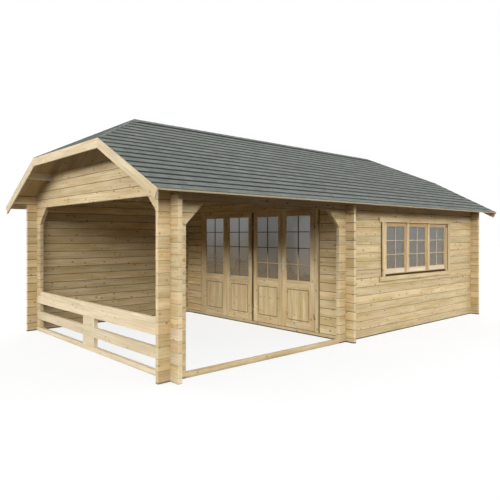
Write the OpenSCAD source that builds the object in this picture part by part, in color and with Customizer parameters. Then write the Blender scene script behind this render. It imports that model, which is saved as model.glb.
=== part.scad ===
// Garden log cabin: one closed room behind an open veranda, under a half-hipped roof.
// Millimetres. The origin is on the ground under the middle of the building, +Z is up,
// the veranda gable faces -X and the long wall with the window faces -Y.

/* [Logs] */
// Height of one log course
course = 136.5; // [115:0.5:160]
// Thickness of the wall logs
log_t = 55; // [44:1:70]
// Length of a log end, from the centre line of the log that it crosses
log_end = 184; // [150:1:220]
// Chamfer along the edges of a log
log_chamfer = 4; // [3:0.5:9]
// Width of the tongue on a log
tongue_w = 22; // [16:1:26]
// Height of the tongue
tongue_h = 9; // [6:0.5:12]
// Fitting gap between neighbouring pieces
seam = 0.4; // [0.2:0.05:0.6]

/* [Plan] */
// Width between the centre lines of the two long walls
span_w = 4200; // [3900:10:4600]
// Length of the veranda, from the gable to the partition
veranda_l = 3195; // [2700:5:3600]
// Length of the room, from the partition to the rear wall
room_l = 4280; // [3900:5:4800]
// Number of full courses in a long wall
wall_courses = 16; // [15:1:17]

/* [Balustrade] */
// Number of courses from the sill up to the lower rail
low_rail_courses = 2; // [2:1:3]
// Number of courses from the lower rail up to the upper one
rail_step_courses = 2; // [2:1:3]
// Length of the middle blocks between the rails
block_l = 368; // [200:1:500]
// Number of log courses in the veranda gable
gable_courses = 4; // [3:1:4]
// Number of courses in the bracket under a beam
bracket_courses = 2; // [1:1:3]

/* [Roof] */
// Slope of all four roof planes, in degrees
pitch = 27.5; // [25:0.5:30]
// Height of the bevelled top log at its outer face
top_log_h = 114; // [90:1:125]
// Overhang of the eaves past the wall face
eave_over = 350; // [300:5:420]
// Overhang of the gables past the wall face
gable_over = 386; // [300:2:420]
// Width of the level edge where a gable is clipped
clip_w = 2236; // [1800:4:2400]
// Thickness of the roof boards
deck_t = 18; // [15:1:24]
// Thickness of the shingle layer
shingle_t = 8; // [6:0.5:12]
// Depth of the bargeboards
barge_d = 122; // [90:1:140]
// Thickness of the bargeboards
barge_t = 20; // [16:1:28]
// Distance of each purlin from the middle of the roof
purlin_y = 1470; // [1300:1:1550]
// Width of the purlins and of the ridge beam
beam_w = 58; // [45:1:75]
// Height of the purlins under the boards
purlin_h = 86; // [70:1:110]
// Height of the ridge beam
ridge_h = 150; // [120:1:180]

/* [Doors] */
// Width of the doorway between the logs of the partition
doorway_w = 3220; // [2900:10:3300]
// Width of the door jambs
jamb_w = 100; // [80:1:115]
// Width of the rebate along the outer edge of a jamb
jamb_rebate_w = 25; // [15:1:35]
// Depth of the rebates in the front of the jambs and of the post
frame_rebate_d = 36; // [20:1:40]
// Width of the post between the two pairs of leaves
mullion_w = 40; // [30:1:60]
// Height of the door head
head_h = 40; // [35:1:50]
// Width of the block on the door head over the post
head_block_w = 58; // [40:1:80]
// Height of the head block
head_block_h = 34; // [25:1:34]
// Depth of the head block in front of the door head
head_block_d = 25; // [15:1:40]
// Depth of the door frame through the wall
door_frame_d = 80; // [74:1:110]
// Thickness of the door leaves
leaf_t = 44; // [36:1:52]
// Height of the door stop in front of the jamb face
stop_w = 14; // [10:1:20]
// Running gap round an opening leaf
door_gap = 7; // [6:0.5:10]
// Gap between the two meeting stiles
meeting_gap = 9; // [9:0.5:14]
// Width of the stiles
stile_w = 90; // [75:1:125]
// Height of the top rail
top_rail_h = 84; // [70:1:120]
// Height of the lock rail
lock_rail_h = 117; // [90:1:140]
// Height of the bottom rail
bottom_rail_h = 100; // [80:1:140]
// Height of the glass above the foot of the leaf
glass_sill = 804; // [700:1:900]
// Thickness of the panes
glass_t = 6; // [4:0.5:10]
// Depth of the groove that holds a pane or a panel
groove_d = 10; // [6:1:14]
// Thickness of a door panel at its edge
panel_t = 12; // [8:1:16]
// Thickness of a door panel over its raised field
field_t = 26; // [20:1:32]
// Width of the bevel round the raised field
bevel_w = 40; // [25:1:60]

/* [Hinges and handle] */
// Height of the lower hinge above the foot of the leaf
hinge_low = 235; // [150:1:400]
// Depth of the upper hinge below the top of the leaf
hinge_high = 255; // [150:1:400]
// Length of one half of a hinge
hinge_l = 46; // [36:1:60]
// Radius of the hinge knuckle
knuckle_r = 7; // [6:0.5:7.5]
// Radius of the hinge pin
pin_r = 4; // [3:0.5:4.5]
// Distance of the hinge axis in front of the door face
axis_out = 8; // [8:0.5:10]
// Width of a hinge plate
plate_w = 20; // [14:1:24]
// Thickness of a hinge plate
plate_t = 2.5; // [2:0.5:4]
// Height of the handle above the foot of the leaf
handle_z = 1085; // [950:5:1150]
// Distance of the handle from the meeting edge of the leaf
handle_in = 34; // [30:1:60]
// Height of the handle's back plate
backplate_h = 240; // [160:5:260]
// Width of the back plate
backplate_w = 42; // [30:1:54]
// Thickness of the back plate
backplate_t = 8; // [5:1:12]
// Radius of the lever
lever_r = 9; // [7:0.5:11]
// Reach of the lever's neck from the plate
lever_out = 48; // [40:1:60]
// Length of the lever
lever_l = 120; // [90:1:140]

/* [Window] */
// Distance of the window's middle from the partition
window_x = 2115; // [1800:5:2400]
// Width of the window opening in the logs
window_w = 2200; // [1800:10:2400]
// Number of courses below the window
sill_courses = 7; // [6:1:8]
// Number of courses that the window cuts
window_courses = 7; // [6:1:7]
// Number of sashes
sashes = 3; // [2:1:4]
// Width of the window frame's members
window_member = 38; // [30:1:50]
// Depth of the window frame through the wall
window_d = 75; // [70:1:100]
// Height of the window frame's sill
window_sill_h = 50; // [40:1:70]
// Width left plain at each end of the window frame's sill, beside its rebate
sill_return_w = 38; // [30:1:60]
// Height of the rebate in the front of the window frame's sill
sill_rebate_h = 36; // [24:1:38]
// Depth of the sill's rebate
sill_rebate_d = 30; // [15:1:40]
// Width of the sash stiles
sash_stile_w = 58; // [45:1:80]
// Height of the sash rails
sash_rail_h = 70; // [50:1:85]
// Thickness of the sashes
sash_t = 44; // [36:1:56]
// Width of the window trim boards
trim_w = 75; // [60:1:95]
// Thickness of the trim boards
trim_t = 18; // [12:1:24]
// Length of the upper and lower trim past the side trim
trim_over = 72; // [30:1:100]

/* [Floor] */
// Thickness of the floor boards
floor_t = 19; // [15:1:28]
// Width of the bearers under the floor
bearer_w = 60; // [45:1:80]
// Number of bearers
bearers = 5; // [3:1:7]

/* [Hidden] */
$fn = 48;

spruce = "burlywood";
pale_spruce = "wheat";
slate = "slategray";
pane = "lightsteelblue";
metal = "dimgray";

// Length by which a cut passes through what it cuts
overrun = 20;
// Clearance round a hinge pin
pin_gap = 0.3;

half_log = log_t / 2;
half_course = course / 2;
notch = course / 4;
bracket_reach = bracket_courses * course;
wall_top = wall_courses * course;
high_rail_courses = low_rail_courses + rail_step_courses;

x_gable = -(veranda_l + room_l) / 2;
x_partition = x_gable + veranda_l;
x_rear = x_partition + room_l;
y_front = -span_w / 2;
y_back = span_w / 2;
inner_y = span_w / 2 - half_log;
outer_y = span_w / 2 + half_log;
outer_x = x_rear + half_log;
end_y = span_w / 2 + log_end;
end_x = x_rear + log_end;

// Roof planes, measured on the underside of the boards
rise_share = tan(pitch);
plate_z = wall_top + top_log_h;
// Height of the top log before its upper face is bevelled
top_blank_h = top_log_h + rise_share * log_t + 2 * log_chamfer;
eave_y = outer_y + eave_over;
edge_x = outer_x + gable_over;
boards_x = edge_x - barge_t - seam;
clip_y = clip_w / 2;
ridge_x = edge_x - clip_y;
deck_v = deck_t / cos(pitch);
shingle_v = shingle_t / cos(pitch);
barge_v = barge_d / cos(pitch);
eave_z = roof_z(eave_y);
ridge_z = roof_z(0);
clip_z = roof_z(clip_y);
purlin_z = roof_z(purlin_y) - purlin_h;
ridge_beam_z = ridge_z - ridge_h;

// Doors
door_face = x_partition - door_frame_d / 2;
doorway_z = half_course;
head_z = wall_top - half_course - head_h;
jamb_y = doorway_w / 2 - jamb_w;
half_mullion = mullion_w / 2;
leaf_z = doorway_z + door_gap;
leaf_h = head_z - door_gap - leaf_z;
leaf_w = (jamb_y - half_mullion - 2 * door_gap - meeting_gap) / 2;
fixed_w = (jamb_y - half_mullion - 3 * seam) / 2;
fixed_h = head_z - doorway_z - 2 * seam;
stop_x = door_face + leaf_t + door_gap;
stop_d = door_face + door_frame_d - stop_x;
axis_x = door_face - axis_out;
left_axis_y = -half_mullion - door_gap / 2;
right_axis_y = -jamb_y + door_gap / 2;
left_leaf_y = -half_mullion - door_gap - leaf_w;
right_leaf_y = -jamb_y + door_gap;
hinge_heights = [leaf_z + hinge_low, leaf_z + leaf_h - hinge_high];

// Window
window_mid = x_partition + window_x;
window_z = sill_courses * course;
window_h = window_courses * course;
light_w = (window_w - 2 * seam - (sashes + 1) * window_member) / sashes;
light_z = window_z + seam + window_sill_h;
light_h = window_h - 2 * seam - window_sill_h - window_member;

function roof_z(y) = plate_z + rise_share * (outer_y - abs(y));
function hip_z(x) = clip_z + rise_share * (edge_x - abs(x));
function roof_reach(z) = outer_y - (z - plate_z) / rise_share;
function cross_z(j) = max(0, j * course - half_course);
function last_course(z) = floor((z + half_course - notch) / course);
function is_rail(j) = j == low_rail_courses || j == high_rail_courses;
function is_bracket(i, top) = i >= top - bracket_courses && i < top;
function in_window(i) = i >= sill_courses && i < sill_courses + window_courses;

// Reach of a gable log from the middle of the roof, ending at a purlin where little would be left past it
function gable_reach(j) =
    let (reach = min(inner_y - seam, roof_reach(cross_z(j))))
    cross_z(j) < purlin_z || reach > purlin_y + beam_w / 2 + course
        ? reach
        : min(reach, purlin_y - beam_w / 2 - seam);

// Cross-section of a log, standing on the origin
module log_section(height, groove, tongue) {
    top = height - seam;
    flat = half_log - log_chamfer;
    slot = tongue_w / 2 + seam;
    feather = tongue_w / 2;
    groove_points = groove ? [[-slot, 0], [-slot, tongue_h], [slot, tongue_h], [slot, 0]] : [];
    tongue_points = tongue
        ? [[feather, top], [feather, top + tongue_h], [-feather, top + tongue_h], [-feather, top]]
        : [];
    polygon(concat(
        [[-flat, 0]], groove_points, [[flat, 0], [half_log, log_chamfer], [half_log, top - log_chamfer]],
        [[flat, top]], tongue_points, [[-flat, top], [-half_log, top - log_chamfer], [-half_log, log_chamfer]]
    ));
}

// A log along +X, notched from below and from above where other logs cross it
module wall_log(start, finish, bottom, height = course, groove = true, tongue = true,
                crossings = [], notched_below = true, notched_above = true) {
    slot_w = log_t + 2 * seam;
    slot_d = log_t + 2 * overrun;
    depth = notch + seam / 2;
    difference() {
        translate([start, 0, bottom])
            rotate([90, 0, 90])
                linear_extrude(finish - start) log_section(height, groove, tongue);
        for (s = crossings) {
            if (notched_below)
                translate([s - slot_w / 2, -slot_d / 2, bottom - overrun])
                    cube([slot_w, slot_d, overrun + depth]);
            if (notched_above)
                translate([s - slot_w / 2, -slot_d / 2, bottom + height - depth])
                    cube([slot_w, slot_d, depth + overrun]);
        }
    }
}

module along_x(y) {
    translate([0, y, 0]) children();
}

module along_y(x) {
    translate([x, 0, 0]) rotate([0, 0, 90]) children();
}

// Wedge that cuts a bracket's slanted underside, rising from a log end towards side
module bracket_cut(log_tip, bottom, side) {
    run = bracket_reach + overrun;
    depth = log_t + 2 * overrun;
    translate([log_tip, depth / 2, bottom])
        mirror([side < 0 ? 1 : 0, 0, 0])
            rotate([90, 0, 0])
                linear_extrude(depth) polygon([[-overrun, -overrun], [run, run], [run, -overrun]]);
}

// Everything below the underside of the roof boards
module under_roof() {
    long = 2 * (edge_x + overrun);
    wide = 2 * (eave_y + overrun);
    far_y = eave_y + overrun;
    far_x = edge_x + overrun;
    intersection() {
        translate([-long / 2, 0, -seam])
            rotate([90, 0, 90])
                linear_extrude(long)
                    polygon([[-far_y, 0], [far_y, 0], [far_y, roof_z(far_y)], [0, ridge_z], [-far_y, roof_z(far_y)]]);
        translate([0, wide / 2, -seam])
            rotate([90, 0, 0])
                linear_extrude(wide)
                    polygon([
                        [-far_x, 0], [far_x, 0], [far_x, hip_z(far_x)], [ridge_x, ridge_z],
                        [-ridge_x, ridge_z], [-far_x, hip_z(far_x)]
                    ]);
    }
}

// Room that the purlins and the ridge beam take in the gables
module beam_slots(gap) {
    long = 2 * edge_x;
    slot_w = beam_w + 2 * gap;
    for (y = [-purlin_y, purlin_y])
        translate([-long / 2, y - slot_w / 2, purlin_z - gap]) cube([long, slot_w, purlin_h + purlin_y]);
    translate([-long / 2, -slot_w / 2, ridge_beam_z - gap]) cube([long, slot_w, ridge_h + overrun]);
}

// Gable logs over the crossing course, each cut to the roof and let out for the beams
module gable_logs(x, first, last, to_roof) {
    for (j = [first:last]) {
        top = j == last && to_roof ? ridge_z - cross_z(j) : course;
        crossed = j == wall_courses;
        reach = crossed ? end_y : gable_reach(j);
        difference() {
            intersection() {
                along_y(x)
                    wall_log(-reach, reach, cross_z(j), height = top, tongue = j < last,
                             crossings = crossed ? [y_front, y_back] : []);
                under_roof();
            }
            beam_slots(seam);
        }
    }
}

// Bevelled log on top of a long wall, out to the bargeboards at both ends
module top_log() {
    intersection() {
        children();
        under_roof();
    }
}

module back_wall() {
    color(spruce) {
        along_x(y_back)
            for (i = [0:wall_courses - 1])
                wall_log(-end_x, end_x, i * course, groove = i > 0, crossings = [x_gable, x_partition, x_rear]);
        top_log()
            along_x(y_back)
                wall_log(-boards_x, boards_x, wall_top, height = top_blank_h, tongue = false,
                         crossings = [x_gable, x_partition, x_rear], notched_above = false);
    }
}

module front_top_logs() {
    color(spruce) {
        along_x(y_front)
            wall_log(-end_x, end_x, wall_top - course, crossings = [x_gable, x_partition, x_rear]);
        top_log()
            along_x(y_front)
                wall_log(-boards_x, boards_x, wall_top, height = top_blank_h, tongue = false,
                         crossings = [x_gable, x_partition, x_rear], notched_above = false);
    }
}

module front_wall() {
    tip = x_partition - log_end;
    window_start = window_mid - window_w / 2;
    window_end = window_mid + window_w / 2;
    color(spruce)
        along_x(y_front)
            for (i = [0:wall_courses - 2]) {
                bottom = i * course;
                bracket = is_bracket(i, wall_courses - 1);
                start = bracket ? tip - bracket_reach : tip;
                difference() {
                    union() {
                        wall_log(start, in_window(i) ? window_start : end_x, bottom, groove = i > 0,
                                 crossings = in_window(i) ? [x_partition] : [x_partition, x_rear]);
                        if (in_window(i))
                            wall_log(window_end, end_x, bottom, groove = i > 0, crossings = [x_rear]);
                    }
                    if (bracket)
                        bracket_cut(tip, (wall_courses - 1 - bracket_courses) * course, -1);
                    if (i == sill_courses - 1)
                        translate([window_start, -half_log, window_z - seam])
                            cube([window_w, log_t, tongue_h + overrun]);
                }
            }
}

module veranda_sill() {
    color(spruce)
        along_x(y_front)
            wall_log(x_gable + log_end + seam, x_partition - log_end - seam, 0, height = half_course,
                     groove = false, tongue = false);
}

module gable_sill() {
    color(spruce) cross_sill(x_gable);
}

module partition_sill() {
    color(spruce) cross_sill(x_partition);
}

// Half log on the ground across the cabin, under the lowest full course
module cross_sill(x) {
    along_y(x)
        wall_log(-end_y, end_y, 0, height = half_course, groove = false, tongue = false,
                 crossings = [y_front, y_back], notched_below = false);
}

module rear_wall() {
    color(spruce) {
        cross_sill(x_rear);
        along_y(x_rear)
            for (j = [1:wall_courses - 1])
                wall_log(-end_y, end_y, cross_z(j), groove = j > 1, crossings = [y_front, y_back]);
        gable_logs(x_rear, wall_courses, last_course(hip_z(outer_x)), true);
    }
}

// Short logs of the partition beside the doorway, on the +Y or the -Y side
module partition_side(side) {
    near = doorway_w / 2;
    along_y(x_partition)
        for (j = [1:wall_courses - 1])
            wall_log(side > 0 ? near : -end_y, side > 0 ? end_y : -near, cross_z(j), groove = j > 1,
                     crossings = [side > 0 ? y_back : y_front]);
}

module partition_left() {
    color(spruce) partition_side(1);
}

module partition_right() {
    color(spruce) partition_side(-1);
}

module partition_gable() {
    color(spruce) gable_logs(x_partition, wall_courses, last_course(ridge_beam_z), true);
}

module veranda_gable() {
    color(spruce) gable_logs(x_gable, wall_courses, wall_courses + gable_courses - 1, false);
}

// Short gable-side logs of a veranda corner, crossing the long wall at y
module corner_stubs(y) {
    inward = y < 0 ? 1 : -1;
    tip = y + inward * log_end;
    along_y(x_gable)
        for (j = [1:wall_courses - 1])
            if (!is_rail(j)) {
                bracket = is_bracket(j, wall_courses);
                reach = bracket ? tip + inward * bracket_reach : tip;
                outside = y - inward * log_end;
                difference() {
                    wall_log(min(reach, outside), max(reach, outside), cross_z(j), groove = j > 1,
                             tongue = !is_rail(j + 1), crossings = [y]);
                    if (bracket)
                        bracket_cut(tip, cross_z(wall_courses - bracket_courses), inward);
                }
            }
}

module front_corner_post() {
    tip = x_gable + log_end;
    color(spruce) {
        corner_stubs(y_front);
        along_x(y_front)
            for (i = [0:wall_courses - 2]) {
                bracket = is_bracket(i, wall_courses - 1);
                difference() {
                    wall_log(-end_x, bracket ? tip + bracket_reach : tip, i * course, groove = i > 0,
                             crossings = [x_gable]);
                    if (bracket)
                        bracket_cut(tip, (wall_courses - 1 - bracket_courses) * course, 1);
                }
            }
    }
}

module back_corner_stubs() {
    color(spruce) corner_stubs(y_back);
}

module balustrade() {
    inside = span_w / 2 - log_end - seam;
    color(spruce)
        along_y(x_gable) {
            for (rail = [[0, low_rail_courses], [low_rail_courses, high_rail_courses]]) {
                block_z = cross_z(rail[0] + 1);
                rail_z = cross_z(rail[1]);
                wall_log(-end_y, end_y, rail_z, groove = false, tongue = false, crossings = [y_front, y_back]);
                wall_log(-block_l / 2, block_l / 2, block_z, height = rail_z - block_z,
                         groove = false, tongue = false);
            }
            wall_log(-inside, inside, cross_z(high_rail_courses + 1), height = half_course,
                     groove = false, tongue = false);
        }
}

module ridge_beam() {
    color(spruce)
        intersection() {
            translate([-boards_x, -beam_w / 2, ridge_beam_z]) cube([2 * boards_x, beam_w, ridge_h]);
            under_roof();
        }
}

module purlins() {
    color(spruce)
        intersection() {
            for (y = [-purlin_y, purlin_y])
                translate([-boards_x, y - beam_w / 2, purlin_z]) cube([2 * boards_x, beam_w, purlin_h + beam_w]);
            under_roof();
        }
}

// A layer on a long slope between two heights over the underside, on the -Y side
module slope_layer(low, high, end, eave) {
    intersection() {
        translate([-end, 0, 0])
            rotate([90, 0, 90])
                linear_extrude(2 * end)
                    polygon([
                        [-eave, roof_z(eave) + low], [0, ridge_z + low],
                        [0, ridge_z + high], [-eave, roof_z(eave) + high]
                    ]);
        linear_extrude(ridge_z + high + overrun)
            polygon([
                [-end, -eave], [end, -eave], [end, ridge_x - end - seam],
                [ridge_x, -seam], [-ridge_x, -seam], [-end, ridge_x - end - seam]
            ]);
    }
}

// A layer on the half-hip at the -X end
module hip_layer(low, high, end) {
    half = end - ridge_x;
    intersection() {
        translate([0, half, 0])
            rotate([90, 0, 0])
                linear_extrude(2 * half)
                    polygon([
                        [-end, hip_z(end) + low], [-ridge_x, ridge_z + low],
                        [-ridge_x, ridge_z + high], [-end, hip_z(end) + high]
                    ]);
        linear_extrude(ridge_z + high + overrun)
            polygon([[-end, -half], [-ridge_x, 0], [-end, half]]);
    }
}

module front_roof_boards() {
    color(pale_spruce) slope_layer(0, deck_v, boards_x, eave_y);
}

module back_roof_boards() {
    color(pale_spruce) mirror([0, 1, 0]) slope_layer(0, deck_v, boards_x, eave_y);
}

module veranda_hip_boards() {
    color(pale_spruce) hip_layer(0, deck_v, boards_x);
}

module rear_hip_boards() {
    color(pale_spruce) mirror([1, 0, 0]) hip_layer(0, deck_v, boards_x);
}

module front_shingles() {
    color(slate) slope_layer(deck_v + seam, deck_v + shingle_v, edge_x, eave_y);
}

module back_shingles() {
    color(slate) mirror([0, 1, 0]) slope_layer(deck_v + seam, deck_v + shingle_v, edge_x, eave_y);
}

module veranda_hip_shingles() {
    color(slate) hip_layer(deck_v + seam, deck_v + shingle_v, edge_x);
}

module rear_hip_shingles() {
    color(slate) mirror([1, 0, 0]) hip_layer(deck_v + seam, deck_v + shingle_v, edge_x);
}

// Three boards round a clipped gable at the -X end, mitred where they meet
module bargeboards() {
    top = clip_z + deck_v;
    foot = eave_z + deck_v;
    back_top = hip_z(edge_x - barge_t) + deck_v;
    mitre_y = clip_y - (barge_v - barge_d) / rise_share;
    for (side = [-1, 1])
        translate([-edge_x, 0, 0])
            rotate([90, 0, 90])
                linear_extrude(barge_t)
                    polygon([
                        [side * (clip_y + seam), top - rise_share * seam], [side * eave_y, foot],
                        [side * (eave_y - barge_d * sin(pitch)), foot - barge_d * cos(pitch)],
                        [side * (mitre_y + seam), top - barge_d - rise_share * seam]
                    ]);
    intersection() {
        translate([-edge_x, 0, 0])
            rotate([90, 0, 90])
                linear_extrude(barge_t)
                    polygon([
                        [clip_y, top], [mitre_y, top - barge_d], [-mitre_y, top - barge_d],
                        [-clip_y, top], [-clip_y + barge_t, back_top], [clip_y - barge_t, back_top]
                    ]);
        translate([0, clip_y, 0])
            rotate([90, 0, 0])
                linear_extrude(2 * clip_y)
                    polygon([
                        [-edge_x, 0], [barge_t - edge_x, 0], [barge_t - edge_x, back_top], [-edge_x, top]
                    ]);
    }
}

module veranda_bargeboards() {
    color(pale_spruce) bargeboards();
}

module rear_bargeboards() {
    color(pale_spruce) mirror([1, 0, 0]) bargeboards();
}

// Places the children at the left edge of each light of the window
module each_light() {
    for (k = [0:sashes - 1])
        translate([window_mid - window_w / 2 + seam + window_member + k * (light_w + window_member), y_front, light_z])
            children();
}

module window_frame() {
    rebate_l = window_w - 2 * sill_return_w;
    color(pale_spruce)
        difference() {
            translate([window_mid - window_w / 2 + seam, y_front - window_d / 2, window_z + seam])
                cube([window_w - 2 * seam, window_d, window_h - 2 * seam]);
            each_light()
                translate([0, -window_d / 2 - overrun, 0]) cube([light_w, window_d + 2 * overrun, light_h]);
            translate([window_mid - rebate_l / 2, y_front - window_d / 2 - overrun, window_z - overrun])
                cube([rebate_l, sill_rebate_d + overrun, sill_rebate_h + overrun]);
        }
}

module window_sashes() {
    glass_w = light_w - 2 * (sash_stile_w - groove_d) - 2 * seam;
    glass_h = light_h - 2 * (sash_rail_h - groove_d) - 2 * seam;
    color(pale_spruce)
        each_light()
            difference() {
                translate([seam, -sash_t / 2, seam]) cube([light_w - 2 * seam, sash_t, light_h - 2 * seam]);
                translate([sash_stile_w, -sash_t / 2 - overrun, sash_rail_h])
                    cube([light_w - 2 * sash_stile_w, sash_t + 2 * overrun, light_h - 2 * sash_rail_h]);
                translate([sash_stile_w - groove_d, -glass_t / 2 - seam, sash_rail_h - groove_d])
                    cube([glass_w + 2 * seam, glass_t + 2 * seam, glass_h + 2 * seam]);
            }
}

module window_glass() {
    inset_x = sash_stile_w - groove_d + seam;
    inset_z = sash_rail_h - groove_d + seam;
    color(pane)
        each_light()
            translate([inset_x, -glass_t / 2, inset_z])
                cube([light_w - 2 * inset_x, glass_t, light_h - 2 * inset_z]);
}

// Trim boards round the window, on the outer and on the inner face of the wall
module window_trim() {
    half = window_w / 2 + trim_w;
    overlap = trim_w / 2;
    low = window_z - trim_w;
    high = window_z + window_h - overlap;
    long = 2 * (half + trim_over);
    proud = window_d / 2 + seam;
    color(pale_spruce)
        for (y = [y_front - proud - trim_t, y_front + proud]) {
            for (z = [low, high])
                translate([window_mid - long / 2, y, z]) cube([long, trim_t, trim_w]);
            for (x = [window_mid - half, window_mid + half - trim_w])
                translate([x, y, low + trim_w + seam]) cube([trim_w, trim_t, high - low - trim_w - 2 * seam]);
        }
}

// Upright of the door frame between two places across the doorway, with its stops and a rebate in its front
module door_upright(from_y, to_y, stop_left, stop_right, rebate_from, rebate_to) {
    tall = head_z - doorway_z - 2 * seam;
    translate([0, 0, doorway_z + seam]) {
        difference() {
            translate([door_face, from_y, 0]) cube([door_frame_d, to_y - from_y, tall]);
            translate([door_face - overrun, rebate_from, -overrun])
                cube([frame_rebate_d + overrun, rebate_to - rebate_from, tall + 2 * overrun]);
        }
        translate([stop_x, from_y - stop_left, 0])
            cube([stop_d, to_y - from_y + stop_left + stop_right, tall - stop_w]);
    }
}

module door_frame() {
    half = doorway_w / 2 - seam;
    color(pale_spruce) {
        door_upright(-half, -jamb_y, 0, stop_w, -half - overrun, -half + jamb_rebate_w);
        door_upright(-half_mullion, half_mullion, stop_w, stop_w, 0, half_mullion + overrun);
        door_upright(jamb_y, half, stop_w, 0, half - jamb_rebate_w, half + overrun);
        translate([door_face, -half, head_z]) cube([door_frame_d, 2 * half, head_h - seam]);
        translate([door_face - head_block_d, -head_block_w / 2, head_z])
            cube([door_frame_d + head_block_d, head_block_w, head_block_h]);
        translate([stop_x, -jamb_y + seam, head_z - stop_w])
            cube([stop_d, jamb_y - half_mullion - 2 * seam, stop_w]);
        translate([stop_x, half_mullion + seam, head_z - stop_w])
            cube([stop_d, jamb_y - half_mullion - 2 * seam, stop_w]);
    }
}

// Stiles and rails of one leaf, with grooves for its pane and its panel
module leaf_frame(width, height) {
    light_y = width - 2 * stile_w;
    panel_h = glass_sill - lock_rail_h - bottom_rail_h;
    pane_h = height - top_rail_h - glass_sill;
    difference() {
        cube([leaf_t, width, height]);
        translate([-overrun, stile_w, glass_sill]) cube([leaf_t + 2 * overrun, light_y, pane_h]);
        translate([-overrun, stile_w, bottom_rail_h]) cube([leaf_t + 2 * overrun, light_y, panel_h]);
        translate([(leaf_t - glass_t) / 2 - seam, stile_w - groove_d, glass_sill - groove_d])
            cube([glass_t + 2 * seam, light_y + 2 * groove_d, pane_h + 2 * groove_d]);
        translate([(leaf_t - panel_t) / 2 - seam, stile_w - groove_d, bottom_rail_h - groove_d])
            cube([panel_t + 2 * seam, light_y + 2 * groove_d, panel_h + 2 * groove_d]);
    }
}

module leaf_pane(width, height) {
    edge = groove_d - seam;
    translate([(leaf_t - glass_t) / 2, stile_w - edge, glass_sill - edge])
        cube([glass_t, width - 2 * stile_w + 2 * edge, height - top_rail_h - glass_sill + 2 * edge]);
}

// Raised and fielded panel
module leaf_panel(width) {
    edge = groove_d - seam;
    panel_w = width - 2 * stile_w;
    panel_h = glass_sill - lock_rail_h - bottom_rail_h;
    translate([leaf_t / 2, stile_w, bottom_rail_h]) {
        translate([-panel_t / 2, -edge, -edge]) cube([panel_t, panel_w + 2 * edge, panel_h + 2 * edge]);
        hull() {
            translate([-panel_t / 2, seam, seam]) cube([panel_t, panel_w - 2 * seam, panel_h - 2 * seam]);
            translate([-field_t / 2, bevel_w, bevel_w])
                cube([field_t, panel_w - 2 * bevel_w, panel_h - 2 * bevel_w]);
        }
    }
}

// Places the children at the foot of each leaf that doesn't open
module each_fixed_leaf() {
    for (k = [0, 1])
        translate([door_face, half_mullion + seam + k * (fixed_w + seam), doorway_z + seam]) children();
}

module fixed_leaves() {
    color(pale_spruce) each_fixed_leaf() leaf_frame(fixed_w, fixed_h);
}

module fixed_glass() {
    color(pane) each_fixed_leaf() leaf_pane(fixed_w, fixed_h);
}

module fixed_panels() {
    color(pale_spruce) each_fixed_leaf() leaf_panel(fixed_w);
}

module left_leaf_place() {
    translate([door_face, left_leaf_y, leaf_z]) children();
}

module right_leaf_place() {
    translate([door_face, right_leaf_y, leaf_z]) children();
}

module left_door() {
    color(pale_spruce) left_leaf_place() leaf_frame(leaf_w, leaf_h);
}

module left_door_glass() {
    color(pane) left_leaf_place() leaf_pane(leaf_w, leaf_h);
}

module left_door_panel() {
    color(pale_spruce) left_leaf_place() leaf_panel(leaf_w);
}

module right_door() {
    color(pale_spruce) right_leaf_place() leaf_frame(leaf_w, leaf_h);
}

module right_door_glass() {
    color(pane) right_leaf_place() leaf_pane(leaf_w, leaf_h);
}

module right_door_panel() {
    color(pale_spruce) right_leaf_place() leaf_panel(leaf_w);
}

// Plate of a lift-off hinge, from its axis towards side, on the face of the frame or the leaf
module hinge_plate(side) {
    thickness = plate_t - seam;
    translate([axis_out - plate_t, side > 0 ? 0 : -plate_w, 0]) cube([thickness, plate_w, hinge_l]);
}

// Upper half of a hinge, with the bore that drops over the pin
module leaf_hinge(side) {
    difference() {
        union() {
            cylinder(r = knuckle_r, h = hinge_l);
            hinge_plate(side);
        }
        translate([0, 0, -overrun]) cylinder(r = pin_r + pin_gap, h = hinge_l - knuckle_r + overrun);
    }
}

// Lower half of a hinge, with its pin
module post_hinge(side) {
    translate([0, 0, -hinge_l - seam]) {
        cylinder(r = knuckle_r, h = hinge_l);
        hinge_plate(side);
    }
    translate([0, 0, -hinge_l]) cylinder(r = pin_r, h = 2 * hinge_l - 2 * knuckle_r);
}

module frame_hinges() {
    color(metal)
        for (z = hinge_heights) {
            translate([axis_x, left_axis_y, z]) post_hinge(1);
            translate([axis_x, right_axis_y, z]) post_hinge(-1);
        }
}

module left_door_hinges() {
    color(metal) for (z = hinge_heights) translate([axis_x, left_axis_y, z]) leaf_hinge(-1);
}

module right_door_hinges() {
    color(metal) for (z = hinge_heights) translate([axis_x, right_axis_y, z]) leaf_hinge(1);
}

// Back plate and lever on one face of the leaf, standing out along -X with the lever towards -Y
module lever_set() {
    corner = backplate_w / 2;
    straight = backplate_h - backplate_w;
    translate([-seam - backplate_t, 0, 0])
        rotate([0, 90, 0])
            linear_extrude(backplate_t) {
                for (end = [-straight / 2, straight / 2])
                    translate([end, 0]) circle(r = corner);
                square([straight, backplate_w], center = true);
            }
    translate([-seam - lever_out, 0, 0]) {
        rotate([0, 90, 0]) cylinder(r = lever_r, h = lever_out - backplate_t);
        rotate([90, 0, 0]) cylinder(r = lever_r, h = lever_l);
        sphere(r = lever_r);
        translate([0, -lever_l, 0]) sphere(r = lever_r);
    }
}

module door_handle() {
    color(metal)
        translate([door_face, right_leaf_y + leaf_w - handle_in, leaf_z + handle_z]) {
            lever_set();
            translate([leaf_t, 0, 0]) mirror([1, 0, 0]) lever_set();
        }
}

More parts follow.
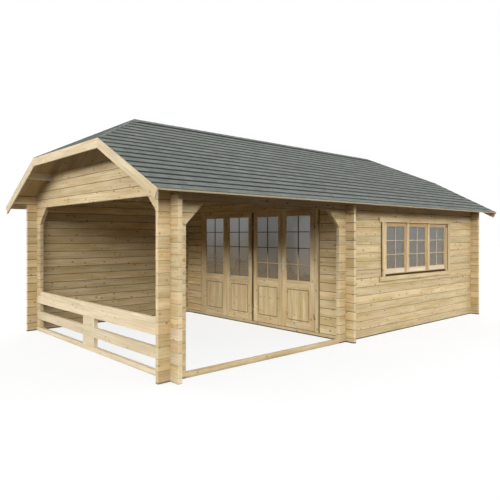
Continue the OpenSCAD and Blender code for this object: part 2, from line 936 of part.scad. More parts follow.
// Boards of the room on their bearers, between the four walls
module room_floor() {
    start = x_partition + half_log + seam;
    long = room_l - log_t - 2 * seam;
    wide = span_w - log_t - 2 * seam;
    bearer_h = half_course - floor_t;
    color(pale_spruce) {
        translate([start, -wide / 2, bearer_h]) cube([long, wide, floor_t]);
        for (k = [0:bearers - 1])
            translate([start, -wide / 2 + k * (wide - bearer_w) / (bearers - 1), 0])
                cube([long, bearer_w, bearer_h]);
    }
}

back_wall();
front_wall();
front_top_logs();
veranda_sill();
gable_sill();
rear_wall();
partition_sill();
partition_left();
partition_right();
partition_gable();
veranda_gable();
front_corner_post();
back_corner_stubs();
balustrade();
ridge_beam();
purlins();
front_roof_boards();
back_roof_boards();
veranda_hip_boards();
rear_hip_boards();
front_shingles();
back_shingles();
veranda_hip_shingles();
rear_hip_shingles();
veranda_bargeboards();
rear_bargeboards();
window_frame();
window_sashes();
window_glass();
window_trim();
door_frame();
fixed_leaves();
fixed_glass();
fixed_panels();
frame_hinges();
left_door();
left_door_glass();
left_door_panel();
left_door_hinges();
right_door();
right_door_glass();
right_door_panel();
right_door_hinges();
door_handle();
room_floor();
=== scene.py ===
"""Looks of a garden log cabin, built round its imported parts: materials, roof, joinery, camera and light."""

import itertools
import math
import random

import bpy
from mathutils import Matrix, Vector


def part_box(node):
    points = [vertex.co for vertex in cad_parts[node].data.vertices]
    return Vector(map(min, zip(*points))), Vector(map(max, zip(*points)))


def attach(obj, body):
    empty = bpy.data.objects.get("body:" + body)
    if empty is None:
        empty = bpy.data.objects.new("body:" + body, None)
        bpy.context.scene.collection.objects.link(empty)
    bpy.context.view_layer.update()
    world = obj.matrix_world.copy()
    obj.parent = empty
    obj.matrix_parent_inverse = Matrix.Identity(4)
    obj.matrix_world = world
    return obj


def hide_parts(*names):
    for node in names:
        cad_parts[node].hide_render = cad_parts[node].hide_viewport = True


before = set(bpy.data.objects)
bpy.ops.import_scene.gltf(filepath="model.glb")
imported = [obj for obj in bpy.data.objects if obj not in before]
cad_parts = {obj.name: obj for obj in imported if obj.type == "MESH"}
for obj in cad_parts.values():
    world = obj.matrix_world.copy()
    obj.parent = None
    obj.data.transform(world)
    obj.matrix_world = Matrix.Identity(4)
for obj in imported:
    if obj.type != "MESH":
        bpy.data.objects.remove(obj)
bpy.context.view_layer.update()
rng = random.Random(11)
X, Y, Z = range(3)

# Sizes of the construction in metres, as in the solids
COURSE = 0.1365
LOG_T = 0.055
SEAM = 0.0004
PITCH = math.radians(27.5)
RISE = math.tan(PITCH)
PITCH_COS = math.cos(PITCH)
PITCH_SIN = math.sin(PITCH)
DECK_T = 0.018
BARGE_D = 0.122
JAMB_W = 0.100
JAMB_REBATE_W = 0.025
FRAME_REBATE_D = 0.036
MULLION_W = 0.040
HEAD_H = 0.040
HEAD_BLOCK_W = 0.058
HEAD_BLOCK_H = 0.034
HEAD_BLOCK_D = 0.025
STOP_W = 0.014
LEAF_T = 0.044
DOOR_GAP = 0.007
STILE_W = 0.090
TOP_RAIL_H = 0.084
LOCK_RAIL_H = 0.117
BOTTOM_RAIL_H = 0.100
GLASS_SILL = 0.804
GLASS_T = 0.006
SASHES = 3
WINDOW_MEMBER = 0.038
WINDOW_SILL_H = 0.050
SILL_RETURN_W = 0.038
SILL_REBATE_H = 0.036
SILL_REBATE_D = 0.030
SASH_STILE_W = 0.058
SASH_RAIL_H = 0.070
TRIM_W = 0.075
TRIM_T = 0.018
TRIM_OVER = 0.072

# Sizes of what is drawn only here, how much shade is painted on the door bars, and row shifts and wear as
# shares of a tab
BOARD_EDGE = 0.002
DOOR_BAR_W = 0.013
WINDOW_BAR_W = 0.011
BAR_PALE_Z = 1.20
BAR_DARK_Z = 1.40
BAR_DARK = 0.97
FIXED_FOOT_DARK = 0.6
DOOR_FOOT_DARK = 0.0
BAR_INSET = 0.006
BAR_EDGE = 0.002
BEAD_W = 0.005
STRIP_T = 0.004
SHADE_STRIP_W = 0.012
FIELD_IN = 0.046
FIELD_SHADE_W = 0.009
DOOR_ROWS = 4
WINDOW_ROWS = 3
PANE_COLUMNS = 2
ROOF_BOARD_W = 0.092
ROOF_BOARD_GAP = 0.0015
EDGING_T = 0.004
BARGE_GRAIN_D = 0.020
MITRE_SLACK = 0.0005
FLOOR_BOARD_W = 0.115
FLOOR_T = 0.019
ROW_PITCH = 0.1562
FIRST_ROW = 0.142
TAB_W = 0.333
TAB_SLOT = 0.003
TAB_TUCK = 0.045
ODD_ROW_SHIFT = (0.42, 0.58)
EVEN_ROW_SHIFT = (-0.06, 0.06)
BUTT_WEAR = (0.88, 1.0)
TAB_BUTT = 0.0052
TAB_HEAD = 0.0015
CAP_L = 0.165
CAP_LAP = 1.25
CAP_T = 0.0026
RIDGE_CAP_W = 0.098
RIDGE_SHADE_W = 0.068
HIP_CAP_W = 0.030
CAP_BUTT = 0.0078
CAP_HEAD = 0.0054
SHADE_LIFT = 0.0056

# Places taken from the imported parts
deck_lo, deck_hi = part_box("front_roof_boards")
shingle_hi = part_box("front_shingles")[1]
hip_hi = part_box("veranda_hip_shingles")[1]
EAVE_Y = -deck_lo.y
EAVE_Z = deck_lo.z
EDGE_X = shingle_hi.x
BOARDS_X = deck_hi.x
RIDGE_X = -hip_hi.x
CLIP_Y = EDGE_X - RIDGE_X
DECK_V = DECK_T / PITCH_COS
CLIP_Z = EAVE_Z + (EAVE_Y - CLIP_Y) * RISE
RIDGE_Z = EAVE_Z + EAVE_Y * RISE
gable_lo, gable_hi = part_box("gable_sill")
GABLE_X = (gable_lo.x + gable_hi.x) / 2
FRONT_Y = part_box("veranda_sill")[0].y + LOG_T / 2
BACK_Y = -FRONT_Y
PARTITION_X = sum(corner.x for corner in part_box("partition_sill")) / 2
REAR_X = -GABLE_X


def operator(operation):
    """A method that puts a math node behind a wire."""
    def applied(self, other=None):
        return self.graph.math(operation, self, other)
    return applied


class Wire:
    """An output in a node tree that can be used in sums."""

    __add__ = operator("ADD")
    __sub__ = operator("SUBTRACT")
    __mul__ = operator("MULTIPLY")
    __truediv__ = operator("DIVIDE")
    __pow__ = operator("POWER")
    __abs__ = operator("ABSOLUTE")
    floor = operator("FLOOR")
    fraction = operator("FRACT")

    def __init__(self, graph, socket):
        self.graph = graph
        self.socket = socket

    def between(self, low, high):
        """0 to 1 laid out between two values."""
        return self * (high - low) + low

    def ramp(self, low, high):
        """0 below low, 1 above high and a smooth rise between; the two may be the other way round."""
        made = self.graph.node("ShaderNodeMapRange", interpolation_type="SMOOTHSTEP")
        self.graph.feed(made.inputs["Value"], self)
        made.inputs["From Min"].default_value = low
        made.inputs["From Max"].default_value = high
        return Wire(self.graph, made.outputs["Result"])


class Graph:
    """Short calls that build the node tree of a material or of the world."""

    def __init__(self, tree):
        self.tree = tree
        tree.nodes.clear()

    def node(self, kind, **settings):
        made = self.tree.nodes.new(kind)
        for name, value in settings.items():
            setattr(made, name, value)
        return made

    def feed(self, socket, value):
        if isinstance(value, Wire):
            self.tree.links.new(value.socket, socket)
        else:
            socket.default_value = value

    def math(self, operation, first, second=None):
        made = self.node("ShaderNodeMath", operation=operation)
        self.feed(made.inputs[0], first)
        if second is not None:
            self.feed(made.inputs[1], second)
        return Wire(self, made.outputs[0])

    def vector(self, x, y, z):
        made = self.node("ShaderNodeCombineXYZ")
        for socket, value in zip(made.inputs, (x, y, z)):
            self.feed(socket, value)
        return Wire(self, made.outputs[0])

    def split(self, vector):
        made = self.node("ShaderNodeSeparateXYZ")
        self.feed(made.inputs[0], vector)
        return [Wire(self, socket) for socket in made.outputs]

    def mix(self, share, first, second, blend="MIX"):
        made = self.node("ShaderNodeMix", data_type="RGBA", blend_type=blend)
        factor, a, b = (made.inputs[index] for index in (0, 6, 7))
        self.feed(factor, share)
        self.feed(a, colour(first))
        self.feed(b, colour(second))
        return Wire(self, made.outputs[2])

    def shaded(self, base, share):
        """A colour times a plain share."""
        return self.mix(1.0, base, self.vector(share, share, share), "MULTIPLY")

    def noise(self, vector, detail=2.0):
        made = self.node("ShaderNodeTexNoise")
        self.feed(made.inputs["Vector"], vector)
        made.inputs["Scale"].default_value = 1.0
        made.inputs["Detail"].default_value = detail
        return Wire(self, made.outputs[0])

    def blotches(self, level_cells, upright_cells, detail=2.0):
        """Noise by the place in the cabin, with so many cells in a level and in an upright metre."""
        x, y, z = self.spot()
        return self.noise(self.vector(x * level_cells, y * level_cells, z * upright_cells), detail)

    def chance(self, vector):
        """One random number for each value of a vector, and three more as a vector."""
        made = self.node("ShaderNodeTexWhiteNoise", noise_dimensions="3D")
        self.feed(made.inputs["Vector"], vector)
        return Wire(self, made.outputs["Value"]), Wire(self, made.outputs["Color"])

    def attribute(self, name, output):
        made = self.node("ShaderNodeAttribute", attribute_name=name)
        return Wire(self, made.outputs[output])

    def place(self, output):
        return Wire(self, self.node("ShaderNodeTexCoord").outputs[output])

    def spot(self):
        """The three coordinates of a place in the cabin."""
        return self.split(self.place("Object"))

    def surface(self, colour_wire, roughness, height, depth, settings):
        """A Principled surface with bumps as the material's output; settings names its plain sockets."""
        shader = self.node("ShaderNodeBsdfPrincipled")
        self.feed(shader.inputs["Base Color"], colour_wire)
        self.feed(shader.inputs["Roughness"], roughness)
        for name, value in settings.items():
            shader.inputs[name].default_value = value
        bump = self.node("ShaderNodeBump")
        bump.inputs["Distance"].default_value = depth
        self.feed(bump.inputs["Height"], height)
        self.tree.links.new(bump.outputs[0], shader.inputs["Normal"])
        self.output(shader.outputs[0], "ShaderNodeOutputMaterial")
        return shader

    def output(self, socket, kind):
        self.tree.links.new(socket, self.node(kind).inputs["Surface"])


def colour(value):
    """A colour socket's value from three linear numbers; a wire passes as it is."""
    return value if isinstance(value, Wire) else (*value, 1.0)


def srgb(red, green, blue):
    """Linear colour of an 8-bit screen colour."""
    def linear(level):
        share = level / 255
        return share / 12.92 if share <= 0.04045 else ((share + 0.055) / 1.055) ** 2.4
    return linear(red), linear(green), linear(blue)


def new_material(name, finish, *values, **options):
    """A new material with the nodes that a finish makes."""
    material = bpy.data.materials.new(name)
    material.use_nodes = True
    finish(Graph(material.node_tree), *values, **options)
    return material


# Octaves of the finer noises
FINE_DETAIL = 3.0

# Timber: colours
PALE_WOOD = srgb(238, 220, 178)
YELLOW_WOOD = srgb(212, 186, 132)
PINK_WOOD = srgb(226, 196, 160)
LATE_WOOD = srgb(178, 142, 88)
KNOT_WOOD = srgb(104, 66, 34)
# End grain's own tone, made paler as painted light on the lit end faces of the corner post
END_WOOD = srgb(230, 210, 170)
# Dark joints between logs, and painted shade in recesses, at a wall's foot and on the door bars
JOINT_AND_SHADE_WOOD = srgb(70, 47, 24)
# Paler wood: bleaching on the bargeboards, and painted light on the rails, beams, and the window's foot rails
# and bars
BLEACHED_AND_LIT_WOOD = srgb(240, 235, 222)
# Painted shade on the window sashes' right stiles and top rails
PAINTED_SHADE_WOOD = srgb(176, 136, 88)
WEATHERED_WOOD = srgb(158, 152, 128)

# Shares of these colours, by what they mark
BLUSH_SHARE = 0.6
RING_SHARE = 0.26
STREAK_SHARE = 0.50
HALO_SHARE = 0.42
KNOT_SHARE = 0.8
END_SHARE = 0.55
# Painted light on the gable sill and the balustrade
RAIL_PAINTED_LIGHT = 0.25
# Painted light on the purlins and the ridge beam
BEAM_PAINTED_LIGHT = 0.7
BARGE_BLEACH = 0.18
# Painted light on the window sashes' foot rails and bars
FOOT_RAIL_PAINTED_LIGHT = 0.45
PAINTED_SHADE_SHARE = 0.5
EDGING_SHARE = 0.8
# Painted shade: dark strips put in the door and window recesses
SHADE_STRIP_DARK = 0.95
# Painted shade round each raised panel field
FIELD_SHADE_DARK = 0.7

# Darkness of the joints between logs, and of the shadow painted along a wall's foot
WALL_JOINT = 0.6
SHADED_JOINT = 0.85
CORNER_JOINT = 0.4
GABLE_JOINT = 0.6
RAIL_JOINT = 0.15
FOOT_SHADE_GAIN = 1.5
FOOT_SHADE_DARKEST = 0.9

# Widths of dark joints and of painted shade lines, at a wall's foot and round a panel's field, and the part
# of each where it is darkest
JOINT_W = 0.0055
JOINT_FULL = 0.5
FOOT_SHADE_H = 0.022
FOOT_SHADE_FULL = 0.7
FIELD_SHADE_FULL = 0.6

# Grain noise: cells in a metre along and across the grain, and a shift from board to board
DRIFT = (0.9, 5.0, 9.0)
STREAK = (2.2, 60.0, 0.0)
CLOUD = (1.3, 9.0, 5.0)
BLUSH = (0.8, 4.0, 31.0)
CLOUD_TURN = (0.25, 0.75)
BLUSH_TURN = (0.45, 0.7)
STREAK_TURN = (0.42, 0.75)

# Growth rings: their width, the place of the pith beside a board, and bends by drift and by knots
RING_W = 0.0042
RING_SHARPNESS = 2.5
PITH_SPREAD = 0.16
PITH_LEAN = 0.05
PITH_DEPTH = 0.02
DRIFT_BEND = 0.07
KNOT_BEND = 0.010

# Knots: cells in a metre before their scale, how rare they are, and sizes as shares of a cell
KNOTS_ALONG = 4.0
KNOTS_ACROSS = 6.5
KNOT_SCALE = 2.0
KNOT_RARE = (0.76, 0.88)
KNOT_SIZE = (0.09, 0.16)
KNOT_CLEAR = 0.03
KNOT_RIM = (0.02, -0.03)
HALO_RIM = (0.20, 0.0)

# Surface of planed wood, and the tone of each board
WOOD_GLOSS = 0.3
WOOD_ROUGH = (0.48, 0.73)
WOOD_RELIEF = 0.0006
RING_HEIGHT = -0.4
STREAK_HEIGHT = 0.6
KNOT_DIP = 0.5
BOARD_TONE = (0.91, 1.09)

# How far a face turns to the grain's end, and numbers that set boards and kinds of wood apart
END_TURN = (0.8, 0.95)
SEED_ALONG = 53.0
SEED_ACROSS = 91.0
SEED_TONE = (7.3, 0.5)
LOG_SEEDS = 0.0
BEAM_SEEDS = (3.0, 1.0)
PANEL_SEEDS = 2.0


def wood_finish(graph, grain, seed, end, groove=0.0, stain=None, stain_share=0.0):
    """Planed spruce: growth rings round a pith, streaks, knots and a tone for each board."""
    along, across, depth = graph.split(grain)
    tone, chances = graph.chance(graph.vector(seed, seed * SEED_TONE[0], SEED_TONE[1]))
    lean, knots, pith = graph.split(chances)
    start = along + seed * SEED_ALONG

    cells = graph.node("ShaderNodeTexVoronoi", voronoi_dimensions="2D")
    knot_place = graph.vector(start * KNOTS_ALONG, across * KNOTS_ACROSS + seed * SEED_ACROSS, 0.0)
    graph.feed(cells.inputs["Vector"], knot_place)
    cells.inputs["Scale"].default_value = KNOT_SCALE
    present = graph.split(Wire(graph, cells.outputs["Color"]))[0].ramp(*KNOT_RARE)
    knot_size = present * knots.between(*KNOT_SIZE)
    knot_edge = Wire(graph, cells.outputs["Distance"]) - knot_size + KNOT_CLEAR
    knot = knot_edge.ramp(*KNOT_RIM)
    halo = knot_edge.ramp(*HALO_RIM)

    def grown(along_cells, across_cells, shift, detail=2.0):
        """Noise that is drawn out along the grain."""
        place = graph.vector(start * along_cells, across * across_cells, depth * across_cells + seed * shift)
        return graph.noise(place, detail)

    bend = (grown(*DRIFT) - 0.5) * DRIFT_BEND + halo * KNOT_BEND
    from_pith = across + (pith - 0.5) * PITH_SPREAD + bend
    behind = depth + lean * PITH_LEAN + PITH_DEPTH
    radius = (from_pith * from_pith + behind * behind) ** 0.5
    ring = (radius / RING_W).fraction() ** RING_SHARPNESS
    streak = grown(*STREAK, FINE_DETAIL)

    base = graph.mix(grown(*CLOUD).ramp(*CLOUD_TURN), PALE_WOOD, YELLOW_WOOD)
    base = graph.mix(grown(*BLUSH).ramp(*BLUSH_TURN) * BLUSH_SHARE, base, PINK_WOOD)
    base = graph.mix(ring * RING_SHARE, base, LATE_WOOD)
    base = graph.mix(streak.ramp(*STREAK_TURN) * STREAK_SHARE, base, LATE_WOOD)
    base = graph.mix(halo * HALO_SHARE, base, LATE_WOOD)
    base = graph.mix(knot * KNOT_SHARE, base, KNOT_WOOD)
    base = graph.mix(end * END_SHARE, base, END_WOOD)
    base = graph.mix(groove, base, JOINT_AND_SHADE_WOOD)
    if stain is not None:
        base = graph.mix(stain_share, base, stain)
    base = graph.shaded(base, tone.between(*BOARD_TONE))

    roughness = streak.between(*WOOD_ROUGH)
    height = ring * RING_HEIGHT + streak * STREAK_HEIGHT - knot * KNOT_DIP
    shader = graph.surface(base, roughness, height, WOOD_RELIEF, {"Specular IOR Level": WOOD_GLOSS})
    # Dark joints and painted shade have no gloss
    bare = graph.math("SUBTRACT", 1.0, groove) if isinstance(groove, Wire) else 1.0 - groove
    graph.feed(shader.inputs["Specular IOR Level"], bare * WOOD_GLOSS)


def end_face(graph, axis):
    """1 on the faces that cut across an axis, 0 on those along it."""
    return abs(graph.split(graph.place("Normal"))[axis]).ramp(*END_TURN)


def log_coordinates(graph, axis, plane, joint_share):
    """Grain coordinates, seed and marks of a wall's logs (end faces, dark joints and a shadow painted along
    the foot), from the place of a point in the cabin.
    """
    x, y, z = graph.spot()
    if axis == X:
        index = (z / COURSE).floor()
        across = z - (index + 0.5) * COURSE
        along, depth = x, y - plane
    else:
        index = (z / COURSE + 0.5).floor()
        across = z - index * COURSE
        along, depth = y, x - plane
    seed = graph.chance(graph.vector(index, plane, LOG_SEEDS))[0]
    joint = abs(across).ramp(COURSE / 2 - JOINT_W, COURSE / 2 - JOINT_W * JOINT_FULL) * joint_share
    # A shadow painted along the foot of the wall, where it meets the floor
    foot = z.ramp(FOOT_SHADE_H, FOOT_SHADE_H * FOOT_SHADE_FULL) * min(FOOT_SHADE_DARKEST, joint_share * FOOT_SHADE_GAIN)
    groove = graph.math("MAXIMUM", joint, foot)
    return graph.vector(along, across, depth), seed, end_face(graph, axis), groove


def log_finish(graph, axis, plane, joint_share, painted_light):
    """Logs of one wall: the axis that they lie along, and the place of the wall's middle across it."""
    # painted_light pales the logs as if they were lit
    wood_finish(graph, *log_coordinates(graph, axis, plane, joint_share), BLEACHED_AND_LIT_WOOD, painted_light)


def corner_finish(graph):
    """Logs of both directions in one corner: those along Y are what lies past the long wall's faces."""
    long_grain, *long_marks = log_coordinates(graph, X, FRONT_Y, CORNER_JOINT)
    cross_grain, *cross_marks = log_coordinates(graph, Y, GABLE_X, CORNER_JOINT)
    crossing = abs(graph.spot()[Y] - FRONT_Y).ramp(LOG_T / 2 + SEAM / 2, LOG_T / 2 + SEAM)

    def choose(firsts, seconds):
        return [first + (second - first) * crossing for first, second in zip(firsts, seconds)]

    grain = graph.vector(*choose(graph.split(long_grain), graph.split(cross_grain)))
    wood_finish(graph, grain, *choose(long_marks, cross_marks))


def beam_finish(graph):
    """Purlins and ridge beam, each with a seed of its own by its place across the roof."""
    x, y, z = graph.spot()
    index = (y + 0.5).floor()
    seed = graph.chance(graph.vector(index, *BEAM_SEEDS))[0]
    grain = graph.vector(x, z - RIDGE_Z + abs(y) * RISE, y - index)
    # Painted light: the beams are paled to look lit
    wood_finish(graph, grain, seed, end_face(graph, X), stain=BLEACHED_AND_LIT_WOOD, stain_share=BEAM_PAINTED_LIGHT)


def board_finish(graph, stain=None, stain_share=0.0, groove=0.0):
    """Boards that carry their own grain coordinates."""
    wood_finish(graph, graph.attribute("grain", "Vector"), graph.attribute("seed", "Fac"),
                graph.attribute("end_grain", "Fac"), groove, stain, stain_share)


def door_bar_finish(graph, foot_dark):
    """Door bars with painted shade: dark in their upper part and paler below; foot_dark is the painted shade
    there.
    """
    rise = graph.spot()[Z].ramp(BAR_PALE_Z, BAR_DARK_Z)
    board_finish(graph, groove=rise.between(foot_dark, BAR_DARK))


def panel_finish(graph, node, panels):
    """Upright panels side by side in one node, with a painted shade line where each raised field ends."""
    lo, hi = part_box(node)
    x, y, z = graph.spot()
    leaf_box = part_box("left_door_panel")
    width = leaf_box[1].y - leaf_box[0].y
    step = (hi.y - lo.y - width) / max(1, panels - 1)
    index = graph.math("MINIMUM", ((y - lo.y) / max(width, step)).floor(), panels - 1.0)
    seed = graph.chance(graph.vector(index, lo.y, PANEL_SEEDS))[0]
    middle = y - lo.y - width / 2 - index * step
    edge_y = abs(middle) - (width / 2 - FIELD_IN)
    edge_z = abs(z - (lo.z + hi.z) / 2) - ((hi.z - lo.z) / 2 - FIELD_IN)
    edge = graph.math("MAXIMUM", edge_y, edge_z)
    # Painted shade: a dark line round the raised field
    line = abs(edge).ramp(FIELD_SHADE_W, FIELD_SHADE_W * FIELD_SHADE_FULL) * FIELD_SHADE_DARK
    wood_finish(graph, graph.vector(z, middle, x - PARTITION_X), seed, 0.0, line)


# Shingles: colours, noise cells in a metre, shifts from tab to tab, and the band as shares of a row
SHINGLE_LIGHT = srgb(109, 115, 109)
SHINGLE_DARK = srgb(94, 100, 94)
SHINGLE_SHADE = srgb(14, 16, 15)
GRANULE_CELLS = 420.0
GRANULE_SHIFT = 30.0
GRANULE_TURN = (0.45, 0.75)
GRANULE_SHARE = 0.3
GRANULE_RELIEF = 0.0015
PATCH_CELLS = (6.0, 9.0)
PATCH_SHIFT = (60.0, 7.0)
PATCH_TURN = (0.3, 0.7)
WOBBLE_CELLS = (30.0, 12.0)
WOBBLE_SHIFT = 11.0
BAND_WOBBLE = 0.008
BAND_START = 0.69
BAND_FULL = 0.74
BAND_SHARE = 0.96
BUTT_SHARE = 0.8
TAB_TONE = (0.93, 1.07)
SHINGLE_GLOSS = 0.25
SHINGLE_ROUGH = (0.75, 0.95)


def shingle_finish(graph):
    """Bitumen shingles: mineral granules, a tone for each tab and a dark band under the next row."""
    u, r, lift = graph.split(graph.attribute("grain", "Vector"))
    seed = graph.attribute("seed", "Fac")
    fine = [part * GRANULE_CELLS for part in (u, r, lift)]
    granule = graph.noise(graph.vector(fine[0], fine[1], fine[2] + seed * GRANULE_SHIFT), detail=1.0)
    patch_u = u * PATCH_CELLS[0] + seed * PATCH_SHIFT[0]
    patch = graph.noise(graph.vector(patch_u, r * PATCH_CELLS[1], seed * PATCH_SHIFT[1]))
    ripple = graph.noise(graph.vector(u * WOBBLE_CELLS[0], r * WOBBLE_CELLS[1], seed * WOBBLE_SHIFT))
    band = (r + (ripple - 0.5) * BAND_WOBBLE).ramp(ROW_PITCH * BAND_START, ROW_PITCH * BAND_FULL)
    base = graph.mix(patch.ramp(*PATCH_TURN), SHINGLE_LIGHT, SHINGLE_DARK)
    base = graph.mix(granule.ramp(*GRANULE_TURN) * GRANULE_SHARE, base, SHINGLE_SHADE)
    base = graph.mix(band * BAND_SHARE, base, SHINGLE_SHADE)
    base = graph.mix(graph.attribute("end_grain", "Fac") * BUTT_SHARE, base, SHINGLE_SHADE)
    base = graph.shaded(base, seed.between(*TAB_TONE))
    roughness = granule.between(*SHINGLE_ROUGH)
    graph.surface(base, roughness, granule, GRANULE_RELIEF, {"Specular IOR Level": SHINGLE_GLOSS})


# Panes: colours of a painted reflection, as their tint and as a glow that is no lamp, noise cells in a level
# and an upright metre, and the film's cover
PANE_HEAD = srgb(138, 139, 134)
PANE_FOOT = srgb(136, 124, 103)
# A glow that is no lamp, painted in as a reflection: its colours, and its strength on each kind of pane
GLOW_HEAD = srgb(96, 97, 96)
GLOW_FOOT = srgb(66, 57, 45)
FIXED_GLOW = 1.5
DOOR_GLOW = 1.0
WINDOW_GLOW = 0.0
FILM_CELLS = (3.0, 2.0)
FILM_DRIFT = 0.2
FILM_COVER = (0.62, 0.72)
WAVE_CELLS = (4.0, 3.0)
WAVE_RELIEF = 0.0006
PANE_GLOSS = 0.7
PANE_ROUGH = (0.03, 0.09)


def glass_finish(graph, node, painted_glow):
    """Panes with a faint waviness and a blotchy film, and a painted reflection in their tint and in a faint
    glow, cool at the head and warm at the foot.
    """
    lo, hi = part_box(node)
    film = graph.blotches(*FILM_CELLS, FINE_DETAIL)
    rise = (graph.spot()[Z] + film * FILM_DRIFT - FILM_DRIFT / 2).ramp(lo.z, hi.z)
    # The tint and the glow are a painted reflection, cool at the head and warm at the foot
    tint = graph.mix(rise, PANE_FOOT, PANE_HEAD)
    settings = {"Specular IOR Level": PANE_GLOSS, "Emission Strength": painted_glow}
    roughness = film.between(*PANE_ROUGH)
    shader = graph.surface(tint, roughness, graph.blotches(*WAVE_CELLS), WAVE_RELIEF, settings)
    graph.feed(shader.inputs["Emission Color"], graph.mix(rise, GLOW_FOOT, GLOW_HEAD))
    graph.feed(shader.inputs["Alpha"], film.between(*FILM_COVER))


# Metal: colours, noise cells in a level and an upright metre, and the surface
STEEL = srgb(238, 233, 218)
STEEL_SMUDGE = srgb(188, 182, 168)
ZINC = srgb(150, 132, 98)
ZINC_SMUDGE = srgb(112, 96, 70)
BRUSH_CELLS = (900.0, 25.0)
BRUSH_RELIEF = 0.0001
SMUDGE_CELLS = (30.0, 30.0)
SMUDGE_TURN = (0.3, 0.8)
SMUDGE_SHARE = 0.4
METAL_SHARE = 0.25
METAL_ROUGH = 0.24
BRUSH_ROUGH = 0.18
SMUDGE_ROUGH = 0.1


def metal_finish(graph, clean, smudged):
    """Satin metal with fine upright brushing."""
    brush = graph.blotches(*BRUSH_CELLS)
    smudge = graph.blotches(*SMUDGE_CELLS, FINE_DETAIL)
    base = graph.mix(smudge.ramp(*SMUDGE_TURN) * SMUDGE_SHARE, clean, smudged)
    roughness = brush * BRUSH_ROUGH + smudge * SMUDGE_ROUGH + METAL_ROUGH
    graph.surface(base, roughness, brush, BRUSH_RELIEF, {"Metallic": METAL_SHARE})


class Shape:
    """Faces of one joined mesh, with the coordinates, seed and end mark that its material reads."""

    def __init__(self):
        self.points = []
        self.faces = []
        self.grain = []
        self.seeds = []
        self.ends = []

    def convex(self, points, faces, grain, seed, ends):
        """Add one convex solid, with its faces turned outwards."""
        first = len(self.points)
        points = [Vector(point) for point in points]
        centre = sum(points, Vector()) / len(points)
        for face, end in zip(faces, ends):
            ring = [points[index] for index in face]
            normal = sum((a.cross(b) for a, b in zip(ring, ring[1:] + ring[:1])), Vector())
            middle = sum(ring, Vector()) / len(ring)
            turned = face if normal.dot(middle - centre) > 0 else face[::-1]
            self.faces.append([first + index for index in turned])
            self.ends.append(float(end))
        self.points += points
        self.grain += grain
        self.seeds += [seed] * len(points)

    def box(self, lo, hi, along, edge=BOARD_EDGE):
        """A board with eased edges between two corners; along is the axis number of its grain."""
        spots = [(corner, axis) for corner in itertools.product((-1, 1), repeat=3) for axis in (X, Y, Z)]
        points = [
            [(hi if corner[k] > 0 else lo)[k] - corner[k] * edge * (k != axis) for k in (X, Y, Z)]
            for corner, axis in spots
        ]
        faces = []
        ends = []
        for way in itertools.product((-1, 0, 1), repeat=3):
            face = [
                index for index, (corner, axis) in enumerate(spots)
                if way[axis] and all(way[k] in (0, corner[k]) for k in (X, Y, Z))
            ]
            if face:
                # The last two swap, so that the points go round the face
                faces.append([*face[:2], *face[:1:-1]])
                ends.append(way[along] != 0 and way.count(0) == 2)
        sides = sorted((k for k in (X, Y, Z) if k != along), key=lambda k: lo[k] - hi[k])
        middle = [(a + b) / 2 for a, b in zip(lo, hi)]
        grain = [
            (point[along], point[sides[0]] - middle[sides[0]], point[sides[1]] - middle[sides[1]])
            for point in points
        ]
        self.convex(points, faces, grain, rng.random(), ends)

    def prism(self, low_ring, high_ring, grain, seed, end_sides=()):
        """A solid between two rings of points; end_sides numbers the sides that are end faces."""
        count = len(low_ring)
        faces = [list(range(count)), list(range(count, 2 * count))]
        ends = [False, False]
        for index in range(count):
            after = (index + 1) % count
            faces.append([index, after, count + after, count + index])
            ends.append(index in end_sides)
        self.convex(list(low_ring) + list(high_ring), faces, grain, seed, ends)

    def build(self, name, material, *nodes, body="cabin", slot="joinery"):
        """The mesh as a piece that rides on a body and stands for the named CAD nodes."""
        mesh = bpy.data.meshes.new(name)
        mesh.from_pydata(self.points, [], self.faces)
        grain = mesh.attributes.new("grain", "FLOAT_VECTOR", "POINT")
        grain.data.foreach_set("vector", [value for point in self.grain for value in point])
        seeds = mesh.attributes.new("seed", "FLOAT", "POINT")
        seeds.data.foreach_set("value", self.seeds)
        ends = mesh.attributes.new("end_grain", "FLOAT", "FACE")
        ends.data.foreach_set("value", self.ends)
        mesh.materials.append(material)
        piece = bpy.data.objects.new(name, mesh)
        bpy.context.scene.collection.objects.link(piece)
        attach(piece, body)
        if nodes:
            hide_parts(*nodes)


def clip(polygon, outline):
    """The part of a convex polygon inside a convex outline, both counter-clockwise."""
    for (ax, ay), (bx, by) in zip(outline, outline[1:] + outline[:1]):
        kept = []
        for (px, py), (qx, qy) in zip(polygon, polygon[1:] + polygon[:1]):
            p_in = (bx - ax) * (py - ay) - (by - ay) * (px - ax)
            q_in = (bx - ax) * (qy - ay) - (by - ay) * (qx - ax)
            if p_in >= 0:
                kept.append((px, py))
            if p_in * q_in < 0:
                share = p_in / (p_in - q_in)
                kept.append((px + (qx - px) * share, py + (qy - py) * share))
        polygon = kept
        if len(polygon) < 3:
            return []
    return polygon


def area(polygon):
    """The area of a polygon, below zero where it is clockwise."""
    return sum(ax * by - bx * ay for (ax, ay), (bx, by) in zip(polygon, polygon[1:] + polygon[:1])) / 2


class Slope:
    """One roof plane: u runs along its eave and r runs level from the eave towards the ridge."""

    def __init__(self, origin, u_way, r_way, outline):
        self.origin = Vector(origin)
        self.u_way = Vector(u_way)
        self.r_way = Vector(r_way)
        self.outline = outline

    def point(self, u, r, lift):
        """A point at a height straight above the underside of the boards."""
        flat = self.origin + self.u_way * u + self.r_way * r
        return flat + Vector((0, 0, r * RISE + lift))


